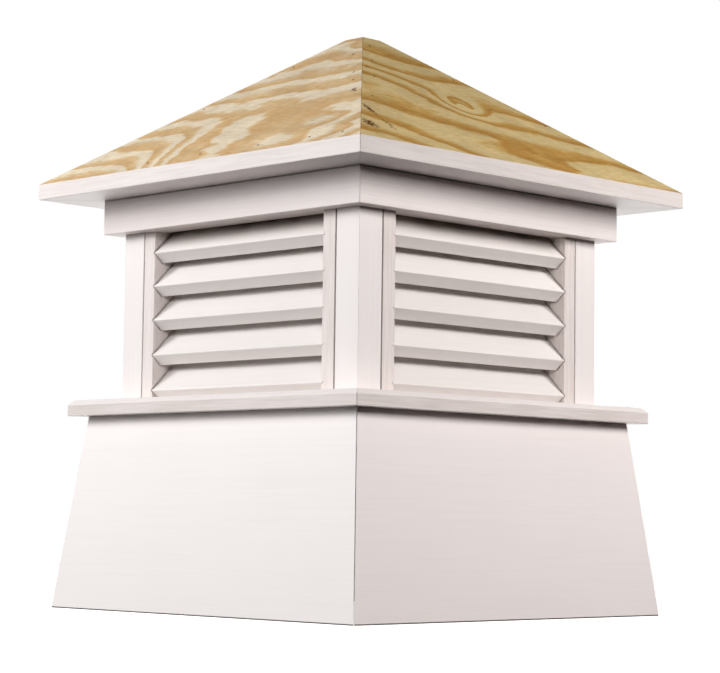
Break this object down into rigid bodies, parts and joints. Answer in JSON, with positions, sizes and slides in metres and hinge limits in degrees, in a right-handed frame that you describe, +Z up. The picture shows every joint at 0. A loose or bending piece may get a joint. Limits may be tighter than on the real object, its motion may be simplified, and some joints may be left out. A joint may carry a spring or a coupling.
{
  "type": "square louvred roof cupola with plywood hip roof",
  "caption": "Square louvred roof cupola in white cellular boards: flared hollow base, mitred sill, slatted sides, frieze, flat boxed eave and a bare plywood hip roof.",
  "frame": {"origin": "centre of the square footprint, at the flat bottom edge of the base", "axes": "+Z up through the peak; front faces -Y, right side faces +X"},
  "size_m": [0.5588, 0.5588, 0.7045],
  "materials": {
    "base_board": "matt white cellular PVC sheet",
    "trim_board": "matt white cellular PVC board, sawn edges slightly soiled",
    "louvre_blade": "matt white extruded vinyl",
    "plywood": "bare sanded pine plywood",
    "nail_steel": "dull weathered steel nail heads"
  },
  "bodies": {
    "root": {"base_panel_front": "base_board", "base_panel_right": "base_board", "base_panel_back": "base_board", "base_panel_left": "base_board", "sill_front": "trim_board", "sill_right": "trim_board", "sill_back": "trim_board", "sill_left": "trim_board", "corner_post_front_right": "trim_board", "corner_post_back_right": "trim_board", "corner_post_back_left": "trim_board", "corner_post_front_left": "trim_board", "stile_front_left": "trim_board", "stile_front_right": "trim_board", "stile_right_left": "trim_board", "stile_right_right": "trim_board", "stile_back_left": "trim_board", "stile_back_right": "trim_board", "stile_left_left": "trim_board", "stile_left_right": "trim_board", "louvre_blades_front": "louvre_blade", "louvre_blades_right": "louvre_blade", "louvre_blades_back": "louvre_blade", "louvre_blades_left": "louvre_blade", "head_rail_front": "trim_board", "head_rail_right": "trim_board", "head_rail_back": "trim_board", "head_rail_left": "trim_board", "frieze_front": "trim_board", "frieze_right": "trim_board", "frieze_back": "trim_board", "frieze_left": "trim_board", "eave_board_front": "trim_board", "eave_board_right": "trim_board", "eave_board_back": "trim_board", "eave_board_left": "trim_board", "roof_panel_front": "plywood", "roof_panel_right": "plywood", "roof_panel_back": "plywood", "roof_panel_left": "plywood"}
  },
  "joints": []
}
